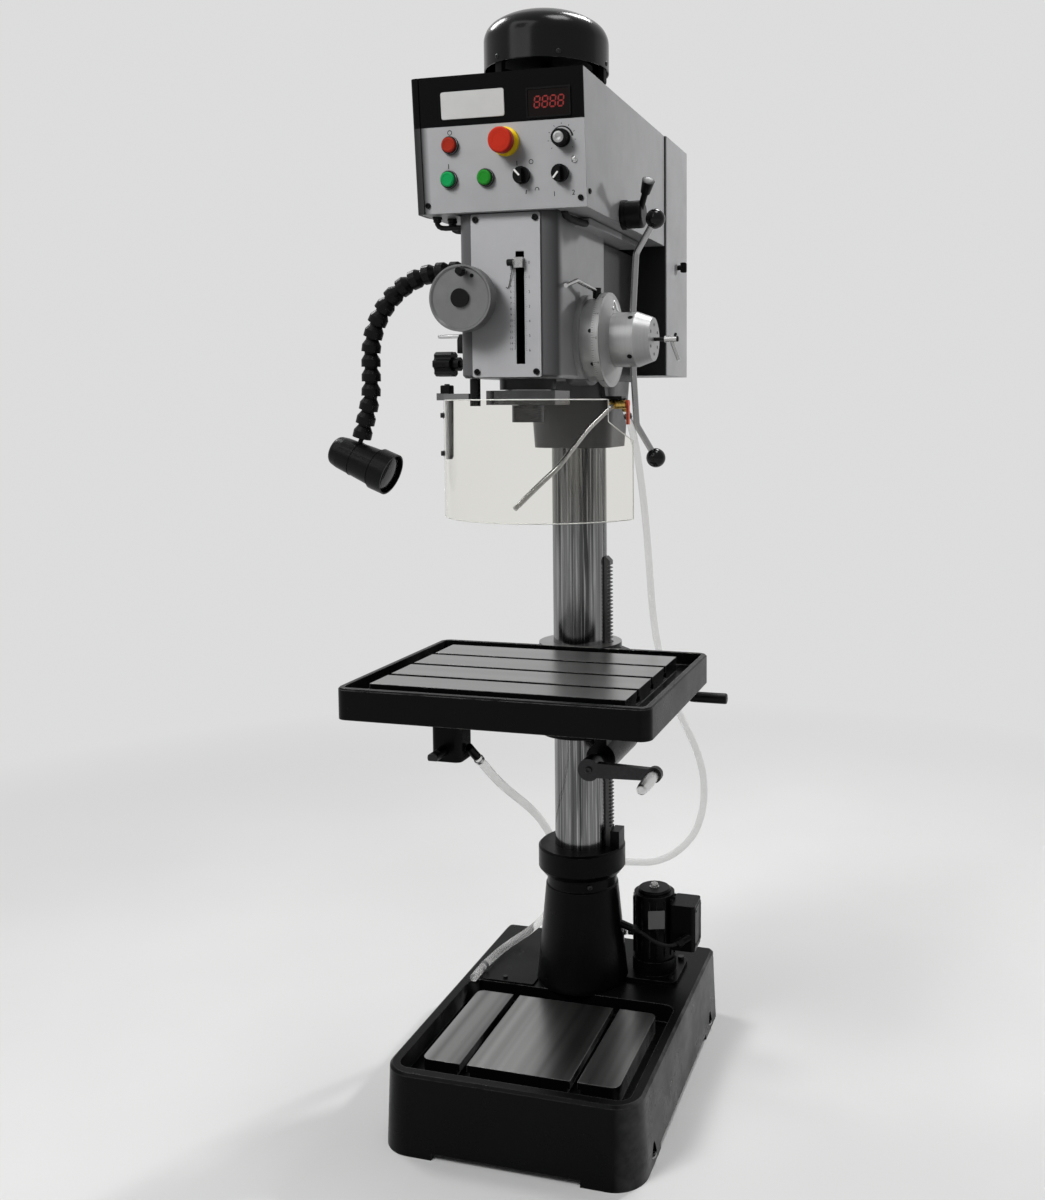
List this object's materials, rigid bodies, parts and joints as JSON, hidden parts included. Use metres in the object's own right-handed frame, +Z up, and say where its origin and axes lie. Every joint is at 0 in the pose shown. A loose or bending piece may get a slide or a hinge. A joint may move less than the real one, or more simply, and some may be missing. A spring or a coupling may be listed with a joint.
{
  "type": "geared-head floor drill press",
  "caption": "Floor drill press with geared head, round column, rack-raised slotted table, quill feed levers, control box, clear guard, work lamp and coolant pump.",
  "frame": {"origin": "on the floor, at the centre of the four floor-anchor holes of the base", "axes": "+Z up along the column, -Y towards the operator, +X to the operator's right"},
  "size_m": [0.7028, 0.833, 2.131],
  "materials": {
    "black_paint": "gloss",
    "grey_paint": "satin",
    "ground_steel": "ground",
    "turned_steel": "turned",
    "dark_steel": "blackened",
    "bright_chrome": "polished",
    "cast_table": "painted sides, ground top",
    "dial_alloy": "turned",
    "brass_fitting": "machined",
    "black_plastic": "gloss",
    "red_plastic": "gloss",
    "green_plastic": "gloss",
    "yellow_plastic": "gloss",
    "orange_plastic": "satin",
    "clear_sheet": "clear",
    "clear_hose": "translucent",
    "black_cable": "satin"
  },
  "bodies": {
    "frame": {"base_casting": "black_paint", "reservoir_cover": "black_paint", "column_foot": "black_paint", "frame_bolts": "dark_steel", "column": "ground_steel", "pump_housing": "black_paint", "pump_motor": "black_paint", "pump_outlet": "turned_steel", "pump_cable": "black_cable", "supply_hose": "clear_hose", "drain_hose": "clear_hose", "head_casting": "grey_paint", "front_plate": "grey_paint", "control_box": "grey_paint", "control_panel": "grey_paint", "estop_collar": "yellow_plastic", "rear_cabinet": "grey_paint", "motor_body": "black_paint", "motor_cowl": "black_paint", "feed_housing": "grey_paint", "coolant_valve": "brass_fitting", "nozzle_pipe": "bright_chrome", "lamp_arm": "black_plastic"},
    "rack_ring": {"rack": "dark_steel", "rack_ring": "black_paint"},
    "table": {"table_casting": "cast_table"},
    "table_crank": {"elevation_shaft": "dark_steel"},
    "crank_grip": {"crank_handle": "bright_chrome"},
    "table_clamp": {"table_clamp_lever": "dark_steel"},
    "drain_cock": {"drain_cock": "dark_steel"},
    "quill": {"quill": "ground_steel", "depth_pointer": "turned_steel", "spindle_bearings": "turned_steel"},
    "spindle": {"spindle": "turned_steel"},
    "spindle_gear": {"spindle_gear": "turned_steel"},
    "gear_cluster": {"gear_cluster": "turned_steel"},
    "motor_rotor": {"motor_rotor": "turned_steel"},
    "feed": {"feed_shaft": "turned_steel", "feed_hub": "dial_alloy", "feed_levers": "bright_chrome", "feed_knobs": "black_plastic", "depth_dial": "dial_alloy"},
    "dial_clamp": {"dial_clamp": "turned_steel"},
    "feed_lock": {"feed_lock_lever": "bright_chrome"},
    "fine_feed": {"fine_feed_wheel": "dial_alloy", "fine_feed_knob": "black_plastic"},
    "quill_lock": {"quill_lock_knob": "black_plastic"},
    "gear_lever": {"gear_lever": "black_plastic"},
    "stop_button": {"stop_button": "red_plastic"},
    "start_button": {"start_button": "green_plastic"},
    "reverse_button": {"reverse_button": "green_plastic"},
    "estop_button": {"estop_button": "red_plastic"},
    "speed_knob": {"speed_knob": "black_plastic"},
    "selector_left": {"selector_left": "black_plastic"},
    "selector_right": {"selector_right": "black_plastic"},
    "cabinet_knob": {"cabinet_knob": "turned_steel"},
    "guard": {"guard_arm": "dark_steel", "guard_shield": "clear_sheet"},
    "lamp_head": {"lamp_head": "black_plastic"},
    "valve_lever": {"valve_lever": "orange_plastic"}
  },
  "joints": [
    {"name": "table_swing", "type": "hinge", "parent": "frame", "child": "rack_ring", "pos_m": [0, 0.1175, 0], "axis": [0, 0, 1], "range_deg": [-90, 5], "deforming": ["drain_hose"]},
    {"name": "table_lift", "type": "slide", "parent": "rack_ring", "child": "table", "axis": [0, 0, 1], "range_m": [-0.145, 0.27], "deforming": ["drain_hose"]},
    {"name": "crank_turn", "type": "hinge", "parent": "table", "child": "table_crank", "pos_m": [0.0895, -0.11, 0.686], "axis": [0, 1, 0], "range_deg": [-690, 372]},
    {"name": "crank_grip_spin", "type": "hinge", "parent": "table_crank", "child": "crank_grip", "pos_m": [0.2205, -0.11, 0.686], "axis": [0, 1, 0], "continuous": true},
    {"name": "table_clamp_turn", "type": "hinge", "parent": "table", "child": "table_clamp", "pos_m": [0.108, 0.1175, 0.776], "axis": [0, 1, 0], "range_deg": [-12, 50]},
    {"name": "drain_cock_turn", "type": "hinge", "parent": "table", "child": "drain_cock", "pos_m": [-0.156, -0.242, 0.743], "axis": [0, 1, 0], "range_deg": [0, 90]},
    {"name": "quill_feed", "type": "slide", "parent": "frame", "child": "quill", "axis": [0, 0, -1], "range_m": [0, 0.15], "stiffness_N_per_m": 200, "springref_m": -0.9},
    {"name": "feed_turn", "type": "hinge", "parent": "frame", "child": "feed", "pos_m": [0, -0.122, 1.514], "axis": [1, 0, 0], "range_deg": [-2, 480]},
    {"name": "motor_spin", "type": "hinge", "parent": "frame", "child": "motor_rotor", "pos_m": [0, -0.0625, 1.86], "axis": [0, 0, 1], "continuous": true},
    {"name": "cluster_spin", "type": "hinge", "parent": "frame", "child": "gear_cluster", "pos_m": [0, -0.1165, 1.74], "axis": [0, 0, 1], "continuous": true},
    {"name": "spindle_gear_spin", "type": "hinge", "parent": "frame", "child": "spindle_gear", "pos_m": [0, -0.1805, 1.74], "axis": [0, 0, 1], "continuous": true},
    {"name": "spindle_spin", "type": "hinge", "parent": "quill", "child": "spindle", "pos_m": [0, -0.1805, 1.5], "axis": [0, 0, 1], "continuous": true},
    {"name": "dial_clamp_turn", "type": "hinge", "parent": "feed", "child": "dial_clamp", "pos_m": [0.2264, -0.122, 1.514], "axis": [1, 0, 0], "range_deg": [-40, 40]},
    {"name": "feed_lock_turn", "type": "hinge", "parent": "frame", "child": "feed_lock", "pos_m": [0.12, -0.133, 1.6], "axis": [0, 0, 1], "range_deg": [0, 40]},
    {"name": "fine_feed_turn", "type": "hinge", "parent": "frame", "child": "fine_feed", "pos_m": [-0.068, -0.3, 1.58], "axis": [0, 1, 0], "continuous": true},
    {"name": "quill_lock_turn", "type": "hinge", "parent": "frame", "child": "quill_lock", "pos_m": [-0.165, -0.1805, 1.471], "axis": [1, 0, 0], "range_deg": [-90, 45]},
    {"name": "gear_lever_turn", "type": "hinge", "parent": "frame", "child": "gear_lever", "pos_m": [0.1559, -0.083, 1.7485], "axis": [1, 0, 0], "range_deg": [-30, 30]},
    {"name": "stop_press", "type": "slide", "parent": "frame", "child": "stop_button", "axis": [0, 0.9966, 0.0823], "range_m": [0, 0.004], "stiffness_N_per_m": 300, "springref_m": -0.004},
    {"name": "start_press", "type": "slide", "parent": "frame", "child": "start_button", "axis": [0, 0.9966, 0.0823], "range_m": [0, 0.004], "stiffness_N_per_m": 300, "springref_m": -0.004},
    {"name": "reverse_press", "type": "slide", "parent": "frame", "child": "reverse_button", "axis": [0, 0.9966, 0.0823], "range_m": [0, 0.004], "stiffness_N_per_m": 300, "springref_m": -0.004},
    {"name": "estop_press", "type": "slide", "parent": "frame", "child": "estop_button", "axis": [0, 0.9966, 0.0823], "range_m": [0, 0.005]},
    {"name": "speed_turn", "type": "hinge", "parent": "frame", "child": "speed_knob", "pos_m": [0.1145, -0.30996, 1.8455], "axis": [0, 0.9966, 0.0823], "range_deg": [-150, 150]},
    {"name": "selector_left_turn", "type": "hinge", "parent": "frame", "child": "selector_left", "pos_m": [0.0405, -0.30521, 1.788], "axis": [0, 0.9966, 0.0823], "range_deg": [-45, 45]},
    {"name": "selector_right_turn", "type": "hinge", "parent": "frame", "child": "selector_right", "pos_m": [0.1105, -0.30521, 1.788], "axis": [0, 0.9966, 0.0823], "range_deg": [-45, 45]},
    {"name": "cabinet_knob_turn", "type": "hinge", "parent": "frame", "child": "cabinet_knob", "pos_m": [0.1604, 0.338, 1.696], "axis": [1, 0, 0], "range_deg": [-90, 0]},
    {"name": "guard_swing", "type": "hinge", "parent": "frame", "child": "guard", "pos_m": [-0.084, -0.232, 1.42], "axis": [0, 0, 1], "range_deg": [-60, 0]},
    {"name": "lamp_tilt", "type": "hinge", "parent": "frame", "child": "lamp_head", "pos_m": [-0.32788, -0.212, 1.33207], "axis": [0, 1, 0], "range_deg": [-15, 15]},
    {"name": "valve_turn", "type": "hinge", "parent": "frame", "child": "valve_lever", "pos_m": [0.1234, 0.052, 1.396], "axis": [1, 0, 0], "range_deg": [-90, 0]}
  ],
  "couplings": [
    {"joint": "crank_turn", "follows": "table_lift", "rad_per_m": -44.444},
    {"joint": "feed_turn", "follows": "quill_feed", "rad_per_m": 55.556},
    {"joint": "cluster_spin", "follows": "motor_spin", "ratio": -0.5},
    {"joint": "spindle_gear_spin", "follows": "motor_spin", "ratio": 0.22727},
    {"joint": "spindle_spin", "follows": "motor_spin", "ratio": 0.22727}
  ]
}
